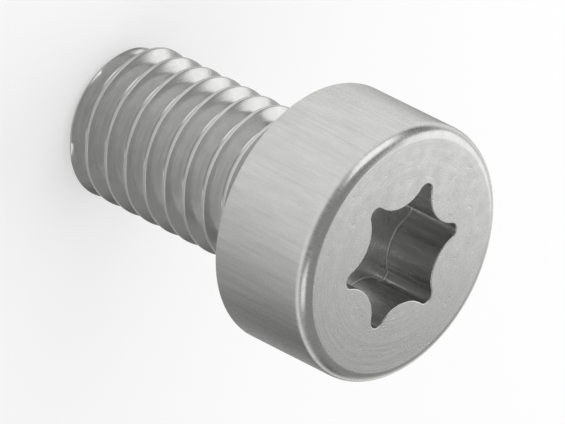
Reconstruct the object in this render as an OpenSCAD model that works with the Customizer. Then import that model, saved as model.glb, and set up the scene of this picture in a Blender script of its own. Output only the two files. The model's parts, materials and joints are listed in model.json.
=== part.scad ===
// Cheese head screw, M6 x 10, with a six-lobe socket of drive size 30.
// One piece of cold-headed steel: a cylindrical head with a rounded top edge, and a shank
// as thick as the thread is over its crests, with a chamfered point.
// A short screw like this rolls when it lies down, so it stands on the flat end of its
// point, with the socket up. Heights are counted from that end.

/* [Head] */
// Diameter of the head
head_d = 10; // [9.5:0.1:12]
// Height of the head, from the bearing face to its flat top
head_h = 4.5; // [4:0.1:6]
// Radius of the rounded edge around the flat top
head_edge_r = 0.5; // [0.2:0.05:0.9]

/* [Shank] */
// Diameter over the thread's crests
shank_d = 6; // [5.5:0.1:7]
// Length from the bearing face to the end of the point
shank_l = 10; // [6:1:30]
// Size of the 45 degree chamfer at the point
point_chamfer = 0.5; // [0.3:0.05:0.9]
// Radius of the fillet where the shank meets the head
neck_fillet_r = 0.25; // [0.15:0.05:0.4]

/* [Six-lobe socket] */
// Diameter of the circle that the tips of the lobes touch
lobe_d = 5.6; // [5:0.05:6.2]
// Diameter of the circle that the ribs between the lobes touch
rib_d = 3.95; // [3.7:0.05:4.2]
// Radius at the tip of each lobe
lobe_tip_r = 0.31; // [0.25:0.01:0.45]
// Depth of the socket below the flat top
socket_depth = 2.25; // [1.5:0.05:2.5]

/* [Hidden] */

// Facets for a full turn of every round surface
$fn = 128;

// Length by which a cutting tool runs past the face that it cuts
overrun = 1;

// Amount by which two arcs of the socket overlap where they would otherwise just touch
lap = 0.0002;

LOBES = 6;
half_pitch_angle = 180 / LOBES;

head_r = head_d / 2;
shank_r = shank_d / 2;
rib_touch_r = rib_d / 2;

// The bearing face is the underside of the head, and the top is its flat upper face.
bearing_z = shank_l;
top_z = bearing_z + head_h;

// Lobe tips and ribs are arcs that run into each other without a corner, so the radius of
// the ribs follows from the other sizes.
lobe_centre = lobe_d / 2 - lobe_tip_r;
lobe_reach = 2 * lobe_centre * cos(half_pitch_angle);
rib_r = (lobe_centre * lobe_centre + rib_touch_r * rib_touch_r
         - lobe_reach * rib_touch_r - lobe_tip_r * lobe_tip_r)
        / (2 * lobe_tip_r - rib_d + lobe_reach);
rib_centre = rib_touch_r + rib_r;

// Half section of the head, with the round tangent to its side and to its flat top
module head_section() {
    translate([0, bearing_z]) {
        square([head_r - head_edge_r, head_h]);
        square([head_r, head_h - head_edge_r]);
        translate([head_r - head_edge_r, head_h - head_edge_r]) circle(head_edge_r);
    }
}

// Half section of the shank, from its chamfered point up to the bearing face
module shank_section() {
    polygon([
        [0, 0],
        [shank_r - point_chamfer, 0],
        [shank_r, point_chamfer],
        [shank_r, bearing_z],
        [0, bearing_z],
    ]);
}

// Half section of the ring of metal that fills the corner under the head
module neck_section() {
    translate([shank_r, bearing_z - neck_fillet_r]) difference() {
        square(neck_fillet_r);
        translate([neck_fillet_r, 0]) circle(neck_fillet_r);
    }
}

function polar(r, a) = [r * cos(a), r * sin(a)];

// Outline of the socket, with its first lobe along X. The star's corners are the centres of
// the arcs, so each of its edges passes through the point where two arcs meet.
module socket_outline() {
    lobe_angles = [for (i = [0 : LOBES - 1]) i * 360 / LOBES];
    rib_angles = [for (a = lobe_angles) a + half_pitch_angle];
    star = [for (i = [0 : LOBES - 1])
                each [polar(lobe_centre, lobe_angles[i]), polar(rib_centre, rib_angles[i])]];
    difference() {
        polygon(star);
        for (a = rib_angles) translate(polar(rib_centre, a)) circle(rib_r);
    }
    for (a = lobe_angles) translate(polar(lobe_centre, a)) circle(lobe_tip_r + lap);
}

module screw() {
    color("silver")
        difference() {
            rotate_extrude() {
                head_section();
                shank_section();
                neck_section();
            }
            translate([0, 0, top_z - socket_depth])
                linear_extrude(socket_depth + overrun) socket_outline();
        }
}

screw();
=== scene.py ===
import json
import math

import bmesh
import bpy
from mathutils import Matrix, Vector


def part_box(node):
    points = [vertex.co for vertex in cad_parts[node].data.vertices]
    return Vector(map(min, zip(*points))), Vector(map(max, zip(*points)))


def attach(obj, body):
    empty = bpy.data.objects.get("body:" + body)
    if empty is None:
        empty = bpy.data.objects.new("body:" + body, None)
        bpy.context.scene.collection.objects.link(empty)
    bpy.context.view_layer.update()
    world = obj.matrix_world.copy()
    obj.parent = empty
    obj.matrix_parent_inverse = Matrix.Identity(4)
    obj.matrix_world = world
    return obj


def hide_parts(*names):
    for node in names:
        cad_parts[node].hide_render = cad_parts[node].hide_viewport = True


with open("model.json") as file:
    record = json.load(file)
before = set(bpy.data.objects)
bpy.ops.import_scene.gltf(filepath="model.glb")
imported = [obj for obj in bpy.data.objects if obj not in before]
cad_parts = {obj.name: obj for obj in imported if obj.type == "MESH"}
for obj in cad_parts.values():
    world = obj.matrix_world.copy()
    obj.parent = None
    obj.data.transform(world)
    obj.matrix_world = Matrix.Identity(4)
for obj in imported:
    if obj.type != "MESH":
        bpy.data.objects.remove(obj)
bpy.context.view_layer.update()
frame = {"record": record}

# Cheese head screw, M6 x 10: one piece of stainless steel, worked out here in millimetres.
# The blank is cold headed, its six-lobe socket is punched in the same stroke, and the
# thread is rolled onto the shank afterwards. It stands on the flat end of its point.
MM = 0.001

# The shank: a metric thread, M6 x 1, rolled between flat dies, with flanks at 60 degrees to each
# other, round roots and narrow flat crests. It comes out in the 45 degree chamfer of the point,
# and fades into a short plain collar below the head.
mounts = {mount["name"]: mount for mount in frame["record"]["mounts"]}
shank_r = mounts["shank"]["dims"]["r_mm"]
bearing_z = mounts["under_head"]["pos_m"][2] / MM
point_chamfer = 0.5
point_softness = 0.05
collar_z = bearing_z - 0.7
run_out_top_z = bearing_z - 0.85
run_out_l = 1.1

# The thread's profile. A flank stands at 60 degrees to the axis, and each arc at its foot and
# at the crest's corners turns through that angle.
pitch = 1.0
flank_slope = math.radians(60)
thread_h = pitch * math.sqrt(3) / 2
root_round_r = thread_h / 6
flank_foot_r = shank_r - thread_h * 5 / 8
root_centre_r = flank_foot_r + root_round_r * math.cos(flank_slope)
crest_round_r = 0.035
crest_corner = pitch * 7 / 16
crest_tangent = crest_round_r * math.tan(flank_slope / 2)

# Round surfaces have this many lines along the screw, and points this near each other are one.
turn_lines = 144
same_point = 1e-4


def line_to(section, tip, x, z, parts):
    """Draws the next straight stretch of a half section, and returns its end."""
    start = tip.co.copy()
    end = Vector((x, 0, z))
    for part in range(1, parts + 1):
        tip = bmesh.ops.extrude_vert_indiv(section, verts=[tip])["verts"][0]
        tip.co = start.lerp(end, part / parts)
    return tip


def arc_round(section, tip, centre, angle, steps, axis=(0, -1, 0)):
    """Draws the next arc of a section round a centre, and returns its end."""
    turned = bmesh.ops.spin(section, geom=[tip], cent=centre, axis=axis, angle=angle, steps=steps)
    return next(part for part in turned["geom_last"] if isinstance(part, bmesh.types.BMVert))


def rim(mesh, z):
    """The open edges of a mesh at one height."""
    return [edge for edge in mesh.edges
            if edge.is_boundary and all(abs(vert.co.z - z) < same_point for vert in edge.verts)]


def rolled_ridge(section, tip, z):
    """One pitch of the thread's section, from the bottom of a root at z to that of the next."""
    crest_centre_r = shank_r - crest_round_r
    crest_low_z = z + crest_corner + crest_tangent
    crest_high_z = z + pitch - crest_corner - crest_tangent
    tip = arc_round(section, tip, (root_centre_r, 0, z), -flank_slope, steps=4)
    tip = line_to(section, tip, shank_r - crest_tangent * math.sin(flank_slope),
                  z + crest_corner - crest_tangent * math.cos(flank_slope), parts=5)
    tip = arc_round(section, tip, (crest_centre_r, 0, crest_low_z), flank_slope, steps=2)
    tip = line_to(section, tip, shank_r, crest_high_z, parts=2)
    tip = arc_round(section, tip, (crest_centre_r, 0, crest_high_z), flank_slope, steps=2)
    tip = line_to(section, tip, flank_foot_r,
                  z + pitch - root_round_r * math.sin(flank_slope), parts=5)
    return arc_round(section, tip, (root_centre_r, 0, z + pitch), -flank_slope, steps=4)


def ease(share):
    """Turns an even rise from 0 to 1 into one that starts and ends gently."""
    share = min(max(share, 0), 1)
    return share * share * (3 - 2 * share)


def soft_min(a, b, softness):
    """The smaller of two values, with the corner rounded where they cross."""
    overlap = max(softness - abs(a - b), 0) / softness
    return min(a, b) - overlap * overlap * softness / 4


def rolled_shank():
    """The shank from its chamfered point to the plain collar, with a right-hand thread."""
    # Two ridges start below the point, so that the thread is whole where it is cut off there.
    ridges_below = 2
    shank = bmesh.new()
    ridges = ridges_below + math.ceil(collar_z / pitch) + 1
    tip = shank.verts.new((root_centre_r - root_round_r, 0, -ridges_below * pitch))
    for ridge in range(ridges):
        tip = rolled_ridge(shank, tip, (ridge - ridges_below) * pitch)
    bmesh.ops.spin(shank, geom=shank.verts[:] + shank.edges[:], cent=(0, 0, 0), axis=(0, 0, 1),
                   dvec=(0, 0, pitch / turn_lines), angle=math.tau, steps=turn_lines)
    bmesh.ops.remove_doubles(shank, verts=shank.verts, dist=same_point)

    # The chamfer takes off what stands past a cone, and the run-out fills the last grooves.
    point_r = shank_r - point_chamfer
    for vert in shank.verts:
        z = vert.co.z
        depth = (shank_r - vert.co.xy.length) * ease((run_out_top_z - z) / run_out_l)
        r = soft_min(shank_r - depth, point_r + z, point_softness)
        vert.co.xy *= r / vert.co.xy.length
    for z, side in ((0, -1), (collar_z, 1)):
        bmesh.ops.bisect_plane(shank, geom=shank.verts[:] + shank.edges[:] + shank.faces[:],
                               dist=same_point / 10, plane_co=(0, 0, z), plane_no=(0, 0, side),
                               clear_outer=True)

    # The plane also cuts the thread's helical lines, and those points aren't on the head's ring.
    between_lines = []
    for vert in shank.verts:
        off_line = math.remainder(math.atan2(vert.co.y, vert.co.x), math.tau / turn_lines)
        if abs(vert.co.z - collar_z) < same_point and abs(off_line) * shank_r > same_point:
            between_lines.append(vert)
    bmesh.ops.dissolve_verts(shank, verts=between_lines)
    bmesh.ops.edgeloop_fill(shank, edges=rim(shank, 0))
    return shank


# The head: a plain cylinder, upset from the wire in a die. Its top edge is well rounded, its
# lower edge is only broken, and a fillet joins its bearing face to the shank.
highest_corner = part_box("screw")[1]
head_r = highest_corner.x / MM
top_z = highest_corner.z / MM
head_edge_r = 0.5
bearing_edge_r = 0.05
neck_fillet_r = 0.25


def upset_head():
    """The head's outside, from the plain collar to the rim of its flat top."""
    quarter = math.radians(90)
    head = bmesh.new()
    tip = head.verts.new((shank_r, 0, collar_z))
    tip = line_to(head, tip, shank_r, bearing_z - neck_fillet_r, parts=2)
    tip = arc_round(head, tip, (shank_r + neck_fillet_r, 0, bearing_z - neck_fillet_r),
                    -quarter, steps=6)
    tip = line_to(head, tip, head_r - bearing_edge_r, bearing_z, parts=4)
    tip = arc_round(head, tip, (head_r - bearing_edge_r, 0, bearing_z + bearing_edge_r),
                    quarter, steps=3)
    tip = line_to(head, tip, head_r, top_z - head_edge_r, parts=8)
    arc_round(head, tip, (head_r - head_edge_r, 0, top_z - head_edge_r), quarter, steps=10)
    bmesh.ops.spin(head, geom=head.verts[:] + head.edges[:], cent=(0, 0, 0), axis=(0, 0, 1),
                   angle=math.tau, steps=turn_lines, use_merge=True)
    return head


# The socket: hexalobular, drive size 30, with a flat floor. Its outline has arcs of two radii
# that run into each other without a corner, so the ribs' radius follows from the other sizes.
lobes = 6
lobe_r = 5.6 / 2
rib_touch_r = 3.95 / 2
lobe_tip_r = 0.31
socket_depth = 2.25
floor_z = top_z - socket_depth
half_pitch = math.pi / lobes
lobe_centre = lobe_r - lobe_tip_r
lobe_reach = 2 * lobe_centre * math.cos(half_pitch)
rib_r = ((lobe_centre ** 2 + rib_touch_r ** 2 - lobe_reach * rib_touch_r - lobe_tip_r ** 2)
         / (2 * lobe_tip_r - 2 * rib_touch_r + lobe_reach))
rib_centre = rib_touch_r + rib_r
lobe_sweep = math.atan2(rib_centre * math.sin(half_pitch),
                        rib_centre * math.cos(half_pitch) - lobe_centre)
rib_sweep = lobe_sweep - half_pitch


def on_ring(r, angle, z):
    """The point at one radius, angle and height."""
    return Vector((r * math.cos(angle), r * math.sin(angle), z))


def punched_socket():
    """The socket's walls and flat floor, open at the head's flat top."""
    up = (0, 0, 1)
    steps = turn_lines // lobes // 2
    socket = bmesh.new()
    tip = socket.verts.new(on_ring(lobe_centre, 0, top_z) + on_ring(lobe_tip_r, -lobe_sweep, 0))
    for lobe in range(lobes):
        angle = lobe * 2 * half_pitch
        tip = arc_round(socket, tip, on_ring(lobe_centre, angle, top_z), 2 * lobe_sweep, steps, up)
        tip = arc_round(socket, tip, on_ring(rib_centre, angle + half_pitch, top_z),
                        -2 * rib_sweep, steps, up)
    bmesh.ops.remove_doubles(socket, verts=socket.verts, dist=same_point)
    walls = bmesh.ops.extrude_edge_only(socket, edges=socket.edges)["geom"]
    deep = [part for part in walls if isinstance(part, bmesh.types.BMVert)]
    bmesh.ops.translate(socket, verts=deep, vec=(0, 0, -socket_depth))
    bmesh.ops.edgeloop_fill(socket, edges=rim(socket, floor_z))
    return socket


# The whole screw: shank, head and socket as one closed surface. The edge of the socket's mouth
# is broken, and a fillet runs round its floor.
mouth_edge_r = 0.045
floor_fillet_r = 0.09


def joined(parts):
    """One mesh of several, with the points where they meet merged."""
    whole = bmesh.new()
    for part in parts:
        copy = bpy.data.meshes.new("part")
        part.to_mesh(copy)
        part.free()
        whole.from_mesh(copy)
        bpy.data.meshes.remove(copy)
    bmesh.ops.remove_doubles(whole, verts=whole.verts, dist=same_point)
    return whole


def placed(name, mesh):
    """Puts a finished mesh into the scene as an object."""
    piece = bpy.data.objects.new(name, bpy.data.meshes.new(name))
    bpy.context.collection.objects.link(piece)
    mesh.to_mesh(piece.data)
    mesh.free()
    return piece


screw_mesh = joined([rolled_shank(), upset_head(), punched_socket()])
bmesh.ops.bridge_loops(screw_mesh, edges=rim(screw_mesh, top_z))
for z, size in ((top_z, mouth_edge_r), (floor_z, floor_fillet_r)):
    corner = [edge for edge in screw_mesh.edges
              if all(abs(vert.co.z - z) < same_point and vert.co.xy.length < lobe_r + same_point
                     for vert in edge.verts)]
    bmesh.ops.bevel(screw_mesh, geom=corner, offset=size, offset_type="OFFSET",
                    affect="EDGES", segments=3, profile=0.5, material=-1, clamp_overlap=True)
bmesh.ops.recalc_face_normals(screw_mesh, faces=screw_mesh.faces)
threaded_screw = placed("threaded_screw", screw_mesh)

# Flat faces keep their flat shading up to the rounded edges. This works in millimetres, before
# the screw is brought to its real size.
sharp_from = math.radians(40)
threaded_screw.data.shade_smooth()
threaded_screw.data.set_sharp_from_angle(angle=sharp_from)
even_shading = threaded_screw.modifiers.new("even_shading", "WEIGHTED_NORMAL")
even_shading.keep_sharp = True
shaded = threaded_screw.evaluated_get(bpy.context.evaluated_depsgraph_get())
threaded_screw.data = bpy.data.meshes.new_from_object(shaded)
threaded_screw.modifiers.clear()
threaded_screw.data.transform(Matrix.Scale(MM, 4))

# The finish: satin stainless steel. Fine streaks run along the axis on the head's side and the
# socket's walls, where die and punch have dragged, and fine rings run round the flat faces and
# the thread. The rolled thread is smoother than the rest, and the punched socket a little
# rougher; its walls and floor are also painted darker, as painted shade in the recess.
steel = bpy.data.materials.new("satin_stainless")
steel.use_nodes = True
steel_tree = steel.node_tree


def made(tree, kind, **settings):
    """Adds a shader node of one kind, with its settings."""
    node = tree.nodes.new("ShaderNode" + kind)
    for name, value in settings.items():
        setattr(node, name, value)
    return node


def fed(node, *sources):
    """Links or sets the inputs that a node uses, in order, and returns its first output."""
    inlets = [inlet for inlet in node.inputs if not inlet.is_unavailable]
    for inlet, source in zip(inlets, sources):
        if isinstance(source, bpy.types.NodeSocket):
            node.id_data.links.new(source, inlet)
        else:
            inlet.default_value = source
    return next(outlet for outlet in node.outputs if not outlet.is_unavailable)


def reckon(operation, *sources, kind="Math"):
    """Works out a value for each point of a surface from the first source and others."""
    return fed(made(sources[0].id_data, kind, operation=operation), *sources)


def ramp(source, low, high, low_value=0, high_value=1, rise="LINEAR"):
    """Turns a value from low to high into one from low_value to high_value, and stops there."""
    return fed(made(source.id_data, "MapRange", interpolation_type=rise),
               source, low, high, low_value, high_value)


def summed(start, *weighed):
    """A start value plus several others, each times its weight."""
    for source, weight in weighed:
        start = reckon("MULTIPLY_ADD", source, weight, start)
    return start


# A point's place on the screw in millimetres, its distance from the axis, and its height
here = reckon("SCALE", made(steel_tree, "TexCoord").outputs["Object"], 1 / MM, kind="VectorMath")
off_axis = reckon("MULTIPLY", here, (1, 1, 0), kind="VectorMath")
radius = reckon("LENGTH", off_axis, kind="VectorMath")
split = made(steel_tree, "SeparateXYZ")
steel_tree.links.new(here, split.inputs["Vector"])
height = split.outputs["Z"]

# Where each kind of mark lies, with a soft border between two kinds
border = 0.1
head_side = ramp(radius, head_r - head_edge_r, head_r - border)
on_shank = ramp(height, bearing_z - neck_fillet_r, run_out_top_z)
in_bore = reckon("MULTIPLY", ramp(radius, lobe_r + border / 2, lobe_r),
                 ramp(height, top_z, top_z - border))
# The socket's walls and floor: a little rougher from the punch, and painted darker as shade
punched_and_shaded = reckon("MULTIPLY", in_bore, ramp(height, bearing_z, floor_z - border))
socket_wall = reckon("MULTIPLY", in_bore, ramp(height, floor_z, floor_z + border))
dragged = reckon("ADD", head_side, socket_wall)


def marks(across, along, detail, roughness=0.5):
    """Even noise with so many marks to the millimetre, across the screw's axis and along it."""
    place = reckon("MULTIPLY", here, (across, across, along), kind="VectorMath")
    return fed(made(steel_tree, "TexNoise"), place, 1, detail, roughness)


# The noise lies round its mean, mostly between low and high. Nicks are the few spots where it
# is higher still.
noise_low = 0.3
noise_mean = 0.5
noise_high = 0.7
cloud = ramp(marks(across=2.2, along=0.7, detail=4, roughness=0.65), noise_low, noise_high)
grain = marks(across=9, along=9, detail=1)
nicks = ramp(marks(across=4.1, along=4.1, detail=1), 0.68, 0.74)
streaked = reckon("SUBTRACT", marks(across=8, along=0.35, detail=3), noise_mean)
streaks = reckon("MULTIPLY", streaked, dragged)
streak_swing = ramp(streaks, -0.2, 0.2, -0.5, 0.5)

# Rings are noise along the radius that changes only slowly on its way round.
rings_per_mm = 14
round_change = 1.5
outward = reckon("NORMALIZE", off_axis, kind="VectorMath")
rings_out = fed(made(steel_tree, "CombineXYZ"), 0, 0, reckon("MULTIPLY", radius, rings_per_mm))
ring_place = reckon("MULTIPLY_ADD", outward, (round_change, round_change, 0), rings_out,
                    kind="VectorMath")
rings = fed(made(steel_tree, "TexNoise"), ring_place, 1, 2, 0.5)
ring_swing = ramp(rings, noise_low, noise_high, -0.5, 0.5)

dark_steel = (0.49, 0.49, 0.483, 1)
light_steel = (0.67, 0.67, 0.66, 1)
# The socket's share is lowered by 0.3: painted shade in the recess, not a colour of the steel
light_share = summed(0.5, (cloud, 0.33), (streaks, 1.07), (ring_swing, 0.26), (punched_and_shaded, -0.3))
tone = fed(made(steel_tree, "Mix", data_type="RGBA"), light_share, dark_steel, light_steel)

rough = summed(0.3, (cloud, -0.05), (streak_swing, 0.1), (ring_swing, 0.08),
               (on_shank, -0.07), (punched_and_shaded, 0.02))

relief_depth = 0.001
relief = made(steel_tree, "Bump")
relief.inputs["Strength"].default_value = 1
relief.inputs["Distance"].default_value = relief_depth * MM
steel_tree.links.new(summed(0, (streaks, 1.6), (rings, 0.8), (grain, 0.25), (nicks, -1.2)),
                     relief.inputs["Height"])

shader = steel_tree.nodes["Principled BSDF"]
shader.inputs["Metallic"].default_value = 1
steel_tree.links.new(tone, shader.inputs["Base Color"])
steel_tree.links.new(rough, shader.inputs["Roughness"])
steel_tree.links.new(relief.outputs["Normal"], shader.inputs["Normal"])
threaded_screw.data.materials.append(steel)

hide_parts("screw")
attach(threaded_screw, "root")

# The floor: a plain white studio table, three metres square. It shows white to the camera and
# in reflections, with the screw's shadow kept, and further out it is white and nothing else,
# where it runs into the room. From here on, sizes are in metres.
table_l = 3
all_white_from = 0.02
all_white_at = 0.09
table_mesh = bmesh.new()
bmesh.ops.create_grid(table_mesh, x_segments=1, y_segments=1, size=table_l / 2)
studio_floor = placed("studio_floor", table_mesh)


def studio_paint(name):
    """A new material for the studio, with nothing in it yet."""
    paint = bpy.data.materials.new(name)
    paint.use_nodes = True
    paint.node_tree.nodes.clear()
    return paint


def coated(paint, share, base, coat):
    """Ends a material with a share of the coat over its base."""
    surface = fed(made(paint.node_tree, "MixShader"), share, base, coat)
    paint.node_tree.links.new(surface, made(paint.node_tree, "OutputMaterial").inputs["Surface"])


def from_middle(tree):
    """How far a point lies from the middle of its own piece."""
    return reckon("LENGTH", made(tree, "TexCoord").outputs["Object"], kind="VectorMath")


def seen_share(tree, by_camera, in_reflections):
    """by_camera on a camera's rays, in_reflections on those through a reflection or clear
    material, and 0 on all others."""
    path = made(tree, "LightPath").outputs
    reflected = reckon("MAXIMUM", path["Is Glossy Ray"], path["Is Transmission Ray"])
    return reckon("MAXIMUM", reckon("MULTIPLY", path["Is Camera Ray"], by_camera),
                  reckon("MULTIPLY", reflected, in_reflections))


table_white = studio_paint("table_white")
table_tree = table_white.node_tree
near_glow = seen_share(table_tree, by_camera=0.4, in_reflections=0.35)
far_glow = seen_share(table_tree, by_camera=1, in_reflections=1)
far_share = ramp(from_middle(table_tree), all_white_from, all_white_at, rise="SMOOTHSTEP")
coated(table_white, fed(made(table_tree, "Mix"), far_share, near_glow, far_glow),
       base=fed(made(table_tree, "BsdfDiffuse"), (0.9, 0.9, 0.9, 1)),
       coat=fed(made(table_tree, "Emission"), (1, 1, 1, 1), 1))
table_white.cycles.emission_sampling = "NONE"
studio_floor.data.materials.append(table_white)

# The room: white as far up as the horizon, like the table that runs into it, with pale walls
# above that and a grey ceiling. Matt things get more light from it than it shows, which makes
# up for the grey ceiling.
wall_tone = 0.75
ceiling_tone = 0.32
ceiling_from = math.radians(22)
matt_light = 2.5
room = bpy.data.worlds.new("room")
bpy.context.scene.world = room
room.use_nodes = True
room_tree = room.node_tree
room_split = made(room_tree, "SeparateXYZ")
room_tree.links.new(made(room_tree, "TexCoord").outputs["Generated"], room_split.inputs["Vector"])
upward = room_split.outputs["Z"]
above = ramp(upward, 0, math.sin(ceiling_from), wall_tone, ceiling_tone, rise="SMOOTHSTEP")
room_tone = reckon("MAXIMUM", above, reckon("LESS_THAN", upward, 0))
room_strength = ramp(seen_share(room_tree, by_camera=1, in_reflections=1), 0, 1, matt_light, 1)
room_light = room_tree.nodes["Background"]
room_tree.links.new(room_tone, room_light.inputs["Color"])
room_tree.links.new(room_strength, room_light.inputs["Strength"])
room.cycles.sampling_method = "NONE"

# The lamps: three soft boxes that stand close round the screw. They are high enough up that its
# flat top doesn't mirror them when it is seen from the side.
middle = Vector((0, 0, top_z / 2 * MM))


def soft_box(name, direction, distance, width, height, brightness):
    """A lamp that faces the screw. Its brightness is what a mirror would show, white being 1."""
    lamp = bpy.data.lights.new(name, "AREA")
    lamp.shape = "RECTANGLE"
    lamp.size = width
    lamp.size_y = height
    lamp.energy = brightness * math.pi * width * height
    stand = bpy.data.objects.new(name, lamp)
    bpy.context.collection.objects.link(stand)
    away = Vector(direction).normalized()
    stand.location = middle + away * distance
    stand.rotation_mode = "QUATERNION"
    stand.rotation_quaternion = away.to_track_quat("Z", "Y")


soft_box("back_box", (-0.3, 0.8, 0.62), distance=0.11, width=0.09, height=0.08, brightness=1.1)
soft_box("left_box", (-0.95, -0.25, 0.65), distance=0.11, width=0.09, height=0.07, brightness=1.2)
soft_box("right_box", (0.8, -0.6, 0.75), distance=0.12, width=0.06, height=0.06, brightness=0.9)

# Round dark cards, soft at their edges: two lie on the table, and two stand between the lamps.
# Only reflections see them: they give the steel something darker to mirror.
card_cover = 0.85
card_black = studio_paint("card_black")
card_tree = card_black.node_tree
coated(card_black, ramp(from_middle(card_tree), 0, 1, card_cover, 0, rise="SMOOTHSTEP"),
       base=fed(made(card_tree, "BsdfTransparent"), (1, 1, 1, 1)),
       coat=fed(made(card_tree, "BsdfDiffuse"), (0.03, 0.03, 0.03, 1)))


def dark_card(name, place, facing, r):
    """A card of one radius at a place, with its face turned one way."""
    disc = bmesh.new()
    bmesh.ops.create_circle(disc, cap_ends=True, segments=64, radius=1)
    card = placed(name, disc)
    card.location = place
    card.scale = (r, r, r)
    card.rotation_mode = "QUATERNION"
    card.rotation_quaternion = facing.to_track_quat("Z", "Y")
    for sight in ("visible_camera", "visible_diffuse", "visible_shadow"):
        setattr(card, sight, False)
    card.data.materials.append(card_black)


up = Vector((0, 0, 1))
dark_card("table_card", Vector((0.028, 0.006, 0.0002)), facing=up, r=0.05)
dark_card("small_table_card", Vector((-0.004, 0.024, 0.0004)), facing=up, r=0.022)
standing_distance = 0.12
for name, side in (("left_card", (-0.906, 0.423, 0.2)), ("right_card", (0.819, 0.574, 0.2))):
    away = Vector(side).normalized()
    dark_card(name, middle + away * standing_distance, facing=-away, r=0.05)

# The camera: a long lens, because the reference is a parallel projection. The screw's axis
# runs from upper left to lower right in the frame, so the camera is rolled. The aim is how far
# the middle of the frame lies from the middle of the head's top, in millimetres.
lens_mm = 1100
view_azimuth = math.radians(-9.23)
view_elevation = math.radians(37.76)
view_roll = math.radians(116.565)
view_distance = 0.6211
aim_right = -4.29
aim_up = 1.59
back = Vector((math.sin(view_azimuth) * math.cos(view_elevation),
               -math.cos(view_azimuth) * math.cos(view_elevation),
               math.sin(view_elevation)))
level = back.to_track_quat("Z", "Y")
turned = level @ Matrix.Rotation(view_roll, 3, "Z").to_quaternion()
camera = bpy.data.objects.new("camera", bpy.data.cameras.new("camera"))
bpy.context.collection.objects.link(camera)
camera.data.lens = lens_mm
camera.data.clip_start = 0.01
camera.data.clip_end = 10
camera.rotation_mode = "QUATERNION"
camera.rotation_quaternion = turned
aim = Vector((0, 0, top_z)) + turned @ Vector((aim_right, aim_up, 0))
camera.location = aim * MM + back * view_distance
bpy.context.scene.camera = camera

bpy.context.scene.view_settings.view_transform = "Standard"
